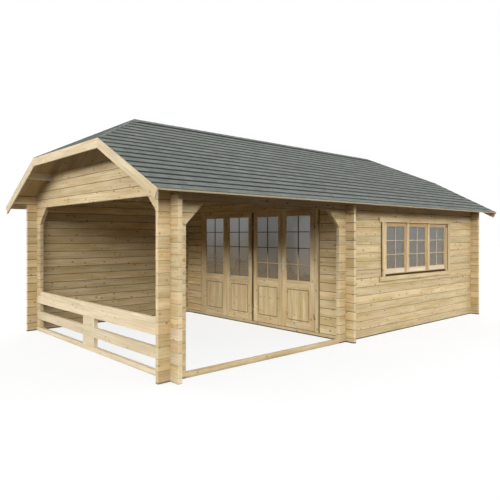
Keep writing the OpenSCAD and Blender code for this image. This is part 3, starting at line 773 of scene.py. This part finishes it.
def long_slope(side, end):
    """The roof plane over a long wall, -1 for the front and 1 for the back, out to end along the ridge."""
    shoulder = EAVE_Y - (end - RIDGE_X)
    outline = [(-end, 0), (end, 0), (end, shoulder), (RIDGE_X, EAVE_Y), (-RIDGE_X, EAVE_Y), (-end, shoulder)]
    return Slope((0, side * EAVE_Y, EAVE_Z), (-side, 0, 0), (0, -side, 0), outline)


def hip_slope(side, end):
    """The half-hip at an end of the roof, -1 for the veranda and 1 for the rear."""
    low = EDGE_X - end
    outline = [(low - CLIP_Y, low), (CLIP_Y - low, low), (0, CLIP_Y)]
    return Slope((side * EDGE_X, 0, CLIP_Z), (0, side, 0), (-side, 0, 0), outline)


def roof_boards(name, slope, material, node):
    """Boards up the slope, with a narrow joint between neighbours."""
    shape = Shape()
    span = max(u for u, r in slope.outline)
    count = math.ceil(2 * span / ROOF_BOARD_W)
    for index in range(count):
        left = -span + index * ROOF_BOARD_W + ROOF_BOARD_GAP / 2
        right = left + ROOF_BOARD_W - ROOF_BOARD_GAP
        outline = clip([(left, EDGING_T), (right, EDGING_T), (right, EAVE_Y), (left, EAVE_Y)], slope.outline)
        if area(outline) < ROOF_BOARD_W * ROOF_BOARD_GAP:
            continue
        rings = [[slope.point(u, r, lift) for u, r in outline] for lift in (0, DECK_V)]
        grain = [(r, u - (left + right) / 2, lift) for lift in (0, DECK_T) for u, r in outline]
        cut = [k for k, (u, r) in enumerate(outline) if abs(r - outline[(k + 1) % len(outline)][1]) < SEAM]
        shape.prism(*rings, grain, rng.random(), cut)
    shape.build(name, material, node, slot="roof_board")


def eave_edging(name, slope, material, node):
    """A weathered strip along the eave, in front of the boards' ends."""
    shape = Shape()
    span = max(u for u, r in slope.outline)
    outline = [(-span, 0), (span, 0), (span, EDGING_T - SEAM), (-span, EDGING_T - SEAM)]
    rings = [[slope.point(u, r, lift) for u, r in outline] for lift in (0, DECK_V)]
    grain = [(u, lift - DECK_T / 2, r) for lift in (0, DECK_T) for u, r in outline]
    shape.prism(*rings, grain, rng.random())
    shape.build(name, material, node, slot="roof_board")


def shingle_rows(name, slope, material, node):
    """Rows of tabs from the eave upwards, each row lying on the head of the one below."""
    shape = Shape()
    span = max(u for u, r in slope.outline)
    top = max(r for u, r in slope.outline)
    starts = [0.0]
    while starts[-1] < top:
        starts.append((FIRST_ROW + (len(starts) - 1) * ROW_PITCH) * PITCH_COS)
    for row, start in enumerate(starts[:-1]):
        shift = rng.uniform(*(ODD_ROW_SHIFT if row % 2 else EVEN_ROW_SHIFT)) * TAB_W
        finish = starts[row + 1] + TAB_TUCK * PITCH_COS
        for index in range(math.ceil(2 * span / TAB_W) + 2):
            left = -span + (index - 1) * TAB_W + shift + TAB_SLOT / 2
            right = left + TAB_W - TAB_SLOT
            outline = clip([(left, start), (right, start), (right, finish), (left, finish)], slope.outline)
            if area(outline) < TAB_SLOT * TAB_SLOT:
                continue
            seed = rng.random()
            butt = TAB_BUTT * rng.uniform(*BUTT_WEAR)

            def lift(r):
                share = (r - start) / (finish - start)
                return DECK_V + (butt + (TAB_HEAD - butt) * share) / PITCH_COS

            low = [slope.point(u, r, DECK_V + SEAM) for u, r in outline]
            high = [slope.point(u, r, lift(r)) for u, r in outline]
            grain = [(u, (r - start) / PITCH_COS, height) for height in (0, TAB_BUTT) for u, r in outline]
            sides = zip(outline, outline[1:] + outline[:1])
            butts = [k for k, ends in enumerate(sides) if all(r - start < SEAM for u, r in ends)]
            shape.prism(low, high, grain, seed, butts)
    shape.build(name, material, node, slot="shingle")


def cap_run(shape, legs, width, butt=CAP_BUTT, head=CAP_HEAD, row_place=0.0):
    """Folded caps along a ridge or hip, each lapping the one before.

    A leg is a slope, the two ends of the line on it in (u, r), and the way in from that line.
    """
    length = math.dist(legs[0][1], legs[0][2])
    count = round(length / CAP_L)
    for index in range(count):
        seed = rng.random()
        near = index / count
        far = min(1.0, (index + CAP_LAP) / count)
        for slope, foot, crown, inward in legs:
            along = (crown[0] - foot[0], crown[1] - foot[1])
            corners = [
                tuple(foot[k] + along[k] * share + inward[k] * out for k in (0, 1))
                for share, out in ((near, 0), (near, width), (far, width), (far, 0))
            ]
            if area(corners) < 0:
                corners.reverse()
            outline = clip(corners, slope.outline)
            if len(outline) < 3:
                continue

            def top(u, r):
                reached = ((u - foot[0]) * along[0] + (r - foot[1]) * along[1]) / length ** 2
                share = (reached - near) / (far - near)
                return butt + (head - butt) * share

            rings = [
                [slope.point(u, r, DECK_V + (top(u, r) - drop) / PITCH_COS) for u, r in outline]
                for drop in (CAP_T, 0)
            ]
            shape.prism(*rings, [(u, row_place, drop) for drop in (0, CAP_T) for u, r in outline], seed)


def roof_caps(material):
    """Caps over the ridge and the four hips."""
    shape = Shape()
    long_slopes = {side: long_slope(side, EDGE_X) for side in (-1, 1)}
    shoulder = EAVE_Y - CLIP_Y
    slant = math.sqrt(0.5)
    for end in (-1, 1):
        hip = hip_slope(end, EDGE_X)
        for side, slope in long_slopes.items():
            way = end * slope.u_way.x
            hip_way = side * hip.u_way.y
            legs = [
                (slope, (way * EDGE_X, shoulder), (way * RIDGE_X, EAVE_Y), (-way * slant, -slant)),
                (hip, (hip_way * CLIP_Y, 0), (0, CLIP_Y), (-hip_way * slant, -slant)),
            ]
            cap_run(shape, legs, HIP_CAP_W)
    ridge = [
        (slope, (-RIDGE_X * slope.u_way.x, EAVE_Y), (RIDGE_X * slope.u_way.x, EAVE_Y), (0, -1))
        for slope in long_slopes.values()
    ]
    # A dark strip under the ridge caps, painted in as their shadow
    cap_run(shape, ridge, RIDGE_CAP_W + RIDGE_SHADE_W, SHADE_LIFT, SHADE_LIFT, ROW_PITCH)
    cap_run(shape, ridge, RIDGE_CAP_W)
    shape.build("ridge_and_hip_caps", material, slot="shingle")


def bargeboards(name, side, material, node):
    """Three mitred boards round a clipped gable."""
    shape = Shape()
    depth_v = BARGE_D / PITCH_COS
    mitre_y = CLIP_Y - (depth_v - BARGE_D) / RISE
    top = CLIP_Z + DECK_V
    low = top - BARGE_D
    foot = EAVE_Z + DECK_V
    outer, inner = side * EDGE_X, side * (BOARDS_X + SEAM)
    slack = MITRE_SLACK
    for way in (-1, 1):
        outline = [
            (way * (CLIP_Y + slack), top - RISE * slack), (way * EAVE_Y, foot),
            (way * (EAVE_Y - BARGE_D * PITCH_SIN), foot - BARGE_D * PITCH_COS),
            (way * (mitre_y + slack), low - RISE * slack),
        ]
        grain = [
            (abs(y) * PITCH_COS - z * PITCH_SIN,
             abs(y) * PITCH_SIN + z * PITCH_COS - (foot + EAVE_Y * RISE) * PITCH_COS, depth)
            for depth in (0.0, BARGE_GRAIN_D) for y, z in outline
        ]
        rings = [[(x, y, z) for y, z in outline] for x in (inner, outer)]
        shape.prism(*rings, grain, rng.random(), (1,))
    board_t = EDGE_X - BOARDS_X
    rings = [
        [(x, edge_y, edge_z), (x, -edge_y, edge_z), (x, -mitre_y, low), (x, mitre_y, low)]
        for x, edge_y, edge_z in ((outer, CLIP_Y, top), (inner, CLIP_Y - board_t, top + board_t * RISE))
    ]
    grain = [(y, z - top, x) for ring in rings for x, y, z in ring]
    shape.prism(*rings, grain, rng.random())
    shape.build(name, material, node)


def plank(shape, plane_axis, across, height, depth, along, edge=BOARD_EDGE):
    """A board in an upright frame: across and height in the frame's plane, depth through it."""
    pairs = [None, None, height]
    pairs[plane_axis] = across
    pairs[1 - plane_axis] = depth
    shape.box([pair[0] for pair in pairs], [pair[1] for pair in pairs], along, edge)


def edges(low, high, width):
    """The two strips of a width at the ends of a span."""
    return (low, low + width), (high - width, high)


def glazing(shape, bars, plane_axis, across, height, depth, bar_w, rows):
    """Beads round a pane and bars across it, on both of its faces."""
    middle = sum(depth) / 2
    faces = [(depth[0] + BAR_INSET, middle - GLASS_T / 2), (middle + GLASS_T / 2, depth[1] - BAR_INSET)]
    for face in faces:
        def board(target, span, rise, along):
            plank(target, plane_axis, span, rise, face, along, BAR_EDGE)

        for strip in edges(*across, BEAD_W):
            board(shape, strip, height, Z)
        for strip in edges(*height, BEAD_W):
            board(shape, (across[0] + BEAD_W, across[1] - BEAD_W), strip, plane_axis)
        for index in range(1, PANE_COLUMNS):
            place = across[0] + (across[1] - across[0]) * index / PANE_COLUMNS
            board(bars, (place - bar_w / 2, place + bar_w / 2), height, Z)
        for index in range(1, rows):
            place = height[0] + (height[1] - height[0]) * index / rows
            board(bars, across, (place - bar_w / 2, place + bar_w / 2), plane_axis)


def door_leaf(shape, bars, y_span, z_span, x_face):
    """Stiles, rails, beads and glazing bars of one door leaf."""
    depth = (x_face, x_face + LEAF_T)
    stiles = edges(*y_span, STILE_W)
    inner = (stiles[0][1], stiles[1][0])
    for stile in stiles:
        plank(shape, Y, stile, z_span, depth, Z)
    foot, head = z_span
    sill = foot + GLASS_SILL
    rails = [(foot, foot + BOTTOM_RAIL_H), (sill - LOCK_RAIL_H, sill), (head - TOP_RAIL_H, head)]
    for rail in rails:
        plank(shape, Y, inner, rail, depth, Y)
    glazing(shape, bars, Y, inner, (rails[1][1], rails[2][0]), depth, DOOR_BAR_W, DOOR_ROWS)


def doors(material, fixed_bar_material, bar_material, shade_strip_material):
    """The frame, the two fixed leaves and the two that open."""
    lo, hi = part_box("door_frame")
    boards = Shape()
    face = lo.x + HEAD_BLOCK_D
    back = face + FRAME_REBATE_D
    head_z = hi.z - HEAD_H
    stop = (face + LEAF_T + DOOR_GAP, hi.x)
    upright = (lo.z, head_z)
    half = MULLION_W / 2
    jambs = edges(lo.y, hi.y, JAMB_W)
    rebates = edges(lo.y, hi.y, JAMB_REBATE_W)
    posts = [jambs[0], (-half, half), jambs[1]]
    fronts = [(rebates[0][1], jambs[0][1]), (-half, 0.0), (jambs[1][0], rebates[1][0])]
    # Dark strips painted as shade: the mullion's front half and the backs of the rebates
    shade_strips = Shape()
    for post, front, front_shape in zip(posts, fronts, (boards, shade_strips, boards)):
        plank(front_shape, Y, front, upright, (face, back), Z)
        plank(boards, Y, post, upright, (back, hi.x), Z)
    plank(boards, Y, (lo.y, hi.y), (head_z, hi.z), (face, hi.x), Y)
    block = (-HEAD_BLOCK_W / 2, HEAD_BLOCK_W / 2)
    plank(boards, Y, block, (head_z, head_z + HEAD_BLOCK_H), (lo.x, face), Y)
    for left, right in zip(posts, posts[1:]):
        strips = edges(left[1], right[0], STOP_W)
        for strip in strips:
            plank(boards, Y, strip, upright, stop, Z)
        plank(boards, Y, (strips[0][1], strips[1][0]), (head_z - STOP_W, head_z), stop, Y)
    boards.build("door_frame_boards", material, "door_frame")
    for rebate in (rebates[0], (0.0, half), rebates[1]):
        plank(shade_strips, Y, rebate, upright, (back - STRIP_T, back), Z)
    shade_strips.build("door_frame_shade_strips", shade_strip_material, "door_frame")

    lo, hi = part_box("fixed_leaves")
    fixed_shape, bars = Shape(), Shape()
    middle = (lo.y + hi.y) / 2
    for span in ((lo.y, middle - SEAM / 2), (middle + SEAM / 2, hi.y)):
        door_leaf(fixed_shape, bars, span, (lo.z, hi.z), lo.x)
    fixed_shape.build("fixed_leaf_boards", material, "fixed_leaves")
    bars.build("fixed_leaf_bars", fixed_bar_material)

    for side in ("left", "right"):
        lo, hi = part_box(side + "_door")
        shape, bars = Shape(), Shape()
        door_leaf(shape, bars, (lo.y, hi.y), (lo.z, hi.z), lo.x)
        shape.build(side + "_leaf_boards", material, side + "_door", body=side + "_leaf")
        bars.build(side + "_leaf_bars", bar_material, body=side + "_leaf")


def window(material, shade_painted_material, painted_light_material, shade_strip_material):
    """The window's frame, its three sashes with bars, and the trim on both faces of the wall."""
    lo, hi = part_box("window_frame")
    sash_lo, sash_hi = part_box("window_sashes")
    light_w = (hi.x - lo.x - (SASHES + 1) * WINDOW_MEMBER) / SASHES
    light_z = (lo.z + WINDOW_SILL_H, hi.z - WINDOW_MEMBER)
    depth = (lo.y, hi.y)
    boards = Shape()
    rebate_y = lo.y + SILL_REBATE_D
    rebate_z = lo.z + SILL_REBATE_H
    plank(boards, X, (lo.x, hi.x), (lo.z, light_z[0]), (rebate_y, hi.y), X)
    plank(boards, X, (lo.x, hi.x), (rebate_z, light_z[0]), (lo.y, rebate_y), X)
    returns = edges(lo.x, hi.x, SILL_RETURN_W)
    for end in returns:
        plank(boards, X, end, (lo.z, rebate_z), (lo.y, rebate_y), X)
    # Dark strips painted as shade: the back of the sill's rebate, down the right jamb and beside the trim's
    # uprights
    shade_strips = Shape()
    between = (returns[0][1], returns[1][0])
    plank(shade_strips, X, between, (lo.z, rebate_z), (rebate_y - STRIP_T, rebate_y), X)
    plank(shade_strips, X, (hi.x - SHADE_STRIP_W, hi.x), (rebate_z, hi.z), (lo.y - STRIP_T / 2, lo.y), Z)
    plank(boards, X, (lo.x, hi.x), (light_z[1], hi.z), depth, X)
    sash_shape, shade_painted_shape, painted_light_shape, bars = Shape(), Shape(), Shape(), Shape()
    for index in range(SASHES + 1):
        left = lo.x + index * (light_w + WINDOW_MEMBER)
        plank(boards, X, (left, left + WINDOW_MEMBER), light_z, depth, Z)
        if index == SASHES:
            continue
        span = (left + WINDOW_MEMBER + SEAM, left + WINDOW_MEMBER + light_w - SEAM)
        sash_depth = (sash_lo.y, sash_hi.y)
        stiles = edges(*span, SASH_STILE_W)
        rails = edges(sash_lo.z, sash_hi.z, SASH_RAIL_H)
        inner = (stiles[0][1], stiles[1][0])
        # Painted shade on the right stile and the top rail of each sash
        for target, stile in zip((sash_shape, shade_painted_shape), stiles):
            plank(target, X, stile, (sash_lo.z, sash_hi.z), sash_depth, Z)
        # Painted light on the foot rail of each sash
        for target, rail in zip((painted_light_shape, shade_painted_shape), rails):
            plank(target, X, inner, rail, sash_depth, X)
        pane_z = (rails[0][1], rails[1][0])
        glazing(sash_shape, bars, X, inner, pane_z, sash_depth, WINDOW_BAR_W, WINDOW_ROWS)
    boards.build("window_frame_boards", material, "window_frame")
    sash_shape.build("window_sash_boards", material, "window_sashes")
    shade_painted_shape.build("window_shade_painted_members", shade_painted_material, "window_sashes")
    painted_light_shape.build("window_foot_rails", painted_light_material, "window_sashes")
    # Window bars painted paler as light
    bars.build("window_bars", painted_light_material)

    lo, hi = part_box("window_trim")
    trim_shape = Shape()
    sides = (lo.x + TRIM_OVER, hi.x - TRIM_OVER)
    for face in edges(lo.y, hi.y, TRIM_T):
        for rise in edges(lo.z, hi.z, TRIM_W):
            plank(trim_shape, X, (lo.x, hi.x), rise, face, X)
        for span in edges(*sides, TRIM_W):
            plank(trim_shape, X, span, (lo.z + TRIM_W + SEAM, hi.z - TRIM_W - SEAM), face, Z)
    trim_shape.build("window_trim_boards", material, "window_trim")
    wall_y = lo.y + TRIM_T
    for span in ((sides[0] - SHADE_STRIP_W, sides[0]), (sides[1], sides[1] + SHADE_STRIP_W)):
        plank(shade_strips, X, span, (lo.z + TRIM_W, hi.z - TRIM_W), (wall_y - STRIP_T, wall_y), Z)
    shade_strips.build("window_shade_strips", shade_strip_material)


def room_floor(material):
    """Floor boards along the room; the bearers under them don't show."""
    lo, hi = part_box("room_floor")
    shape = Shape()
    count = round((hi.y - lo.y) / FLOOR_BOARD_W)
    width = (hi.y - lo.y) / count
    for index in range(count):
        left = lo.y + index * width
        shape.box((lo.x, left, hi.z - FLOOR_T), (hi.x, left + width, hi.z), X)
    shape.build("room_floor_boards", material, "room_floor", slot="roof_board")


def dress(material, *nodes):
    """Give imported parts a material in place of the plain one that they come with."""
    for node in nodes:
        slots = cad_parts[node].data.materials
        slots.clear()
        slots.append(material)


def log_walls():
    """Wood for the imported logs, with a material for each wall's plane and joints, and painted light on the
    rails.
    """
    walls = (
        ("front_logs", X, FRONT_Y, WALL_JOINT, 0.0, "front_wall", "front_top_logs"),
        ("sill_logs", X, FRONT_Y, RAIL_JOINT, 0.0, "veranda_sill"),
        ("back_logs", X, BACK_Y, SHADED_JOINT, 0.0, "back_wall"),
        ("gable_logs", Y, GABLE_X, GABLE_JOINT, 0.0, "veranda_gable", "back_corner_stubs"),
        ("rail_logs", Y, GABLE_X, RAIL_JOINT, RAIL_PAINTED_LIGHT, "gable_sill", "balustrade"),
        ("partition_logs", Y, PARTITION_X, SHADED_JOINT, 0.0,
         "partition_sill", "partition_left", "partition_right", "partition_gable"),
        ("rear_logs", Y, REAR_X, WALL_JOINT, 0.0, "rear_wall"),
    )
    for name, axis, plane, joint_share, painted_light, *nodes in walls:
        dress(new_material(name, log_finish, axis, plane, joint_share, painted_light), *nodes)
    dress(new_material("corner_logs", corner_finish), "front_corner_post")
    dress(new_material("roof_beams", beam_finish), "ridge_beam", "purlins")


def roof(board):
    """Decks, shingles and bargeboards of the four slopes, and the caps over their meetings."""
    shingle = new_material("shingles", shingle_finish)
    edging = new_material("weathered_edging", board_finish, WEATHERED_WOOD, EDGING_SHARE)
    pale = new_material("barge_boards", board_finish, BLEACHED_AND_LIT_WOOD, BARGE_BLEACH)
    for name, side in (("front", -1), ("back", 1)):
        roof_boards(name + "_deck", long_slope(side, BOARDS_X), board, name + "_roof_boards")
        eave_edging(name + "_eave_edging", long_slope(side, BOARDS_X), edging, name + "_roof_boards")
        shingle_rows(name + "_shingle_rows", long_slope(side, EDGE_X), shingle, name + "_shingles")
    for name, side in (("veranda", -1), ("rear", 1)):
        roof_boards(name + "_hip_deck", hip_slope(side, BOARDS_X), board, name + "_hip_boards")
        shingle_rows(name + "_hip_shingle_rows", hip_slope(side, EDGE_X), shingle, name + "_hip_shingles")
        bargeboards(name + "_barge", side, pale, name + "_bargeboards")
    roof_caps(shingle)


# The photograph's view: its pixels, and the eye's place before the corner of the gable and the long wall
PICTURE = 500.0
FOCAL_PIXELS = 506.5
HORIZON_ROW = 235.77
EYE_TO_GABLE = 3.144
EYE_TO_FRONT = 4.827
EYE_Z = 1.643
HEADING = 47.98
SENSOR_W = 36.0


def camera():
    """The photograph's level view, with the horizon a little over the middle of the picture."""
    data = bpy.data.cameras.new("camera")
    data.sensor_width = SENSOR_W
    data.lens = FOCAL_PIXELS / PICTURE * SENSOR_W
    data.shift_y = (HORIZON_ROW - PICTURE / 2) / PICTURE
    made = bpy.data.objects.new("camera", data)
    gable_face = GABLE_X - LOG_T / 2
    front_face = FRONT_Y - LOG_T / 2
    made.location = (gable_face - EYE_TO_GABLE, front_face - EYE_TO_FRONT, EYE_Z)
    made.rotation_euler = (math.radians(90), 0, math.radians(HEADING - 90))
    bpy.context.scene.collection.objects.link(made)
    bpy.context.scene.camera = made


# Brightness of the surroundings with their soft bands, as sines of elevation, and the floor under the cabin
GABLE_LIGHT = 8.75
GABLE_BAND = (0.160, 0.210, 0.342, 0.407)
FRONT_LIGHT = 4.75
FRONT_BAND = (0.225, 0.292, 0.545, 0.602)
REAR_LIGHT = 2.9
REAR_BAND = (0.170, 0.220, 0.848, 0.883)
SIDE_FOCUS = 2.0
LEAST_LEVEL = 0.001
FLOOR_HALF = 60.0
FLOOR_SHOWN = 0.82
FLOOR_PALE = 0.9
FLOOR_LIGHT = 0.051


def seen_plainly(graph):
    """1 for rays that the camera, a reflection or a pane sees the backdrop with, 0 for the light's own."""
    path = graph.node("ShaderNodeLightPath")
    rays = [Wire(graph, path.outputs[f"Is {kind} Ray"]) for kind in ("Camera", "Glossy", "Transmission")]
    return graph.math("MINIMUM", rays[0] + rays[1] + rays[2], 1.0)


def backdrop():
    """Soft light from low before the gable and the long wall and from behind; white where it is seen."""
    world = bpy.data.worlds.new("studio")
    bpy.context.scene.world = world
    world.use_nodes = True
    graph = Graph(world.node_tree)
    x, y, z = graph.split(graph.place("Generated"))
    level = (x * x + y * y) ** 0.5 + LEAST_LEVEL

    def side(part, band):
        low, low_full, high_full, high = band
        towards = graph.math("MAXIMUM", part / level, 0.0) ** SIDE_FOCUS
        return towards * z.ramp(low, low_full) * z.ramp(high, high_full)

    strength = side(x * -1.0, GABLE_BAND) * GABLE_LIGHT + side(y * -1.0, FRONT_BAND) * FRONT_LIGHT
    strength = strength + (side(x, REAR_BAND) + side(y, REAR_BAND)) * REAR_LIGHT
    seen = seen_plainly(graph)
    fill = graph.node("ShaderNodeBackground")
    fill.inputs["Color"].default_value = colour((1.0, 1.0, 1.0))
    graph.feed(fill.inputs["Strength"], strength * graph.math("SUBTRACT", 1.0, seen) + seen)
    graph.output(fill.outputs[0], "ShaderNodeOutputWorld")


def floor_finish(graph):
    """Matt for the light that falls on it, and nearly white where it is seen."""
    seen = seen_plainly(graph)
    matt = graph.node("ShaderNodeBsdfDiffuse")
    matt.inputs["Color"].default_value = colour((FLOOR_PALE, FLOOR_PALE, FLOOR_PALE))
    glow = graph.node("ShaderNodeEmission")
    graph.feed(glow.inputs["Strength"], seen.between(FLOOR_LIGHT, 1.0))
    mixed = graph.node("ShaderNodeMixShader")
    graph.feed(mixed.inputs[0], seen.between(1.0, FLOOR_SHOWN))
    graph.tree.links.new(matt.outputs[0], mixed.inputs[1])
    graph.tree.links.new(glow.outputs[0], mixed.inputs[2])
    graph.output(mixed.outputs[0], "ShaderNodeOutputMaterial")


def floor():
    """A plain pale floor that keeps a part of the cabin's shadow and sends a little even light up."""
    half = FLOOR_HALF
    corners = [(-half, -half, 0), (half, -half, 0), (half, half, 0), (-half, half, 0)]
    mesh = bpy.data.meshes.new("floor")
    mesh.from_pydata(corners, [], [(0, 1, 2, 3)])
    mesh.materials.append(new_material("pale_floor", floor_finish))
    made = bpy.data.objects.new("floor", mesh)
    bpy.context.scene.collection.objects.link(made)


camera()
backdrop()
floor()
bpy.context.scene.view_settings.view_transform = "Standard"

board = new_material("spruce_boards", board_finish)
log_walls()
roof(board)
# Strips painted dark as shade in recesses
shade_strip = new_material("painted_shade_strips", board_finish, groove=SHADE_STRIP_DARK)
# Door bars painted dark as shade higher up, paler lower down
fixed_bar = new_material("fixed_bars", door_bar_finish, FIXED_FOOT_DARK)
door_bar = new_material("door_bars", door_bar_finish, DOOR_FOOT_DARK)
doors(board, fixed_bar, door_bar, shade_strip)
# Boards painted darker as shade
shade_painted = new_material("shade_painted_boards", board_finish, PAINTED_SHADE_WOOD, PAINTED_SHADE_SHARE)
# Boards painted paler as light, for the window's foot rails and bars
pale = new_material("painted_light_boards", board_finish, BLEACHED_AND_LIT_WOOD, FOOT_RAIL_PAINTED_LIGHT)
window(board, shade_painted, pale, shade_strip)
room_floor(board)
dress(new_material("fixed_panel_wood", panel_finish, "fixed_panels", 2), "fixed_panels")
for side in ("left", "right"):
    panel = side + "_door_panel"
    dress(new_material(side + "_panel_wood", panel_finish, panel, 1), panel)
dress(new_material("window_panes", glass_finish, "window_glass", WINDOW_GLOW), "window_glass")
dress(new_material("fixed_panes", glass_finish, "fixed_glass", FIXED_GLOW), "fixed_glass")
dress(new_material("door_panes", glass_finish, "fixed_glass", DOOR_GLOW),
      "left_door_glass", "right_door_glass")
dress(new_material("satin_steel", metal_finish, STEEL, STEEL_SMUDGE), "door_handle")
dress(new_material("dull_zinc", metal_finish, ZINC, ZINC_SMUDGE),
      "frame_hinges", "left_door_hinges", "right_door_hinges")
